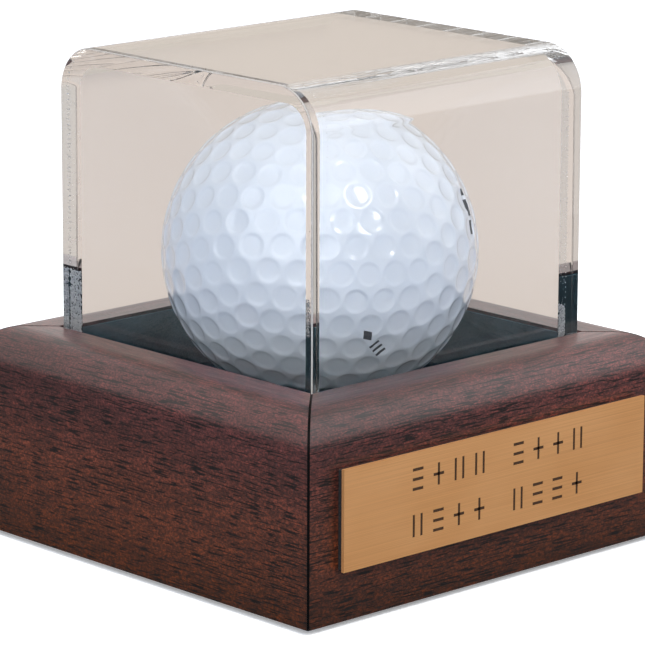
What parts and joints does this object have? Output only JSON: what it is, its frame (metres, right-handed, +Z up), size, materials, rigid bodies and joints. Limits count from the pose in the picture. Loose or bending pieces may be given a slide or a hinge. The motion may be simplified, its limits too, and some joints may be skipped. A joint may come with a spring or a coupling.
{
  "type": "golf ball display case",
  "caption": "Square wooden base with a lined recess that seats a golf ball under a lift-off clear cover, with a name plate on the front.",
  "frame": {"origin": "centre of the underside of the base, on the surface the case stands on", "axes": "+Z up, -Y towards the name plate, +X to the right when facing the name plate"},
  "size_m": [0.0694, 0.0707, 0.0702],
  "materials": {
    "wood_front": "satin lacquer, dark reddish brown, grain along the rail",
    "wood_back": "satin lacquer, dark reddish brown, grain along the rail",
    "wood_left": "satin lacquer, dark reddish brown, grain along the rail",
    "wood_right": "satin lacquer, dark reddish brown, grain along the rail",
    "steel": "plain drawn wire and strip",
    "pine": "sawn, unfinished",
    "fibreboard": "plain fibreboard",
    "velvet": "short black flock",
    "felt": "pressed felt",
    "foam_tape": "double-sided foam tape",
    "brass": "brushed along its length, dark engraved figures",
    "acrylic": "clear cast acrylic, polished edges",
    "ball_rubber": "moulded",
    "ball_white": "glossy white lacquer over a dimpled skin"
  },
  "bodies": {
    "base": {"rail_front": "wood_front", "rail_back": "wood_back", "rail_left": "wood_left", "rail_right": "wood_right", "mitre_nails": "steel", "corner_blocks": "pine", "deck_board": "fibreboard", "deck_velvet": "velvet", "lining_front": "velvet", "lining_back": "velvet", "lining_left": "velvet", "lining_right": "velvet", "bottom_board": "fibreboard", "board_brads": "steel", "bottom_felt": "felt", "plate_tape": "foam_tape", "name_plate": "brass"},
    "cover": {"cover_wrap": "acrylic", "cover_end_left": "acrylic", "cover_end_right": "acrylic"},
    "ball": {"ball_core": "ball_rubber", "ball_skin": "ball_white"}
  },
  "joints": [
    {"name": "cover_lift", "type": "slide", "parent": "base", "child": "cover", "axis": [0, 0, 1], "range_m": [0, 0.1]},
    {"name": "ball_lift", "type": "slide", "parent": "base", "child": "ball", "axis": [0, 0, 1], "range_m": [0, 0.045]}
  ],
  "couplings": [
    {"joint": "ball_lift", "follows": "cover_lift", "ratio": 0.45}
  ]
}
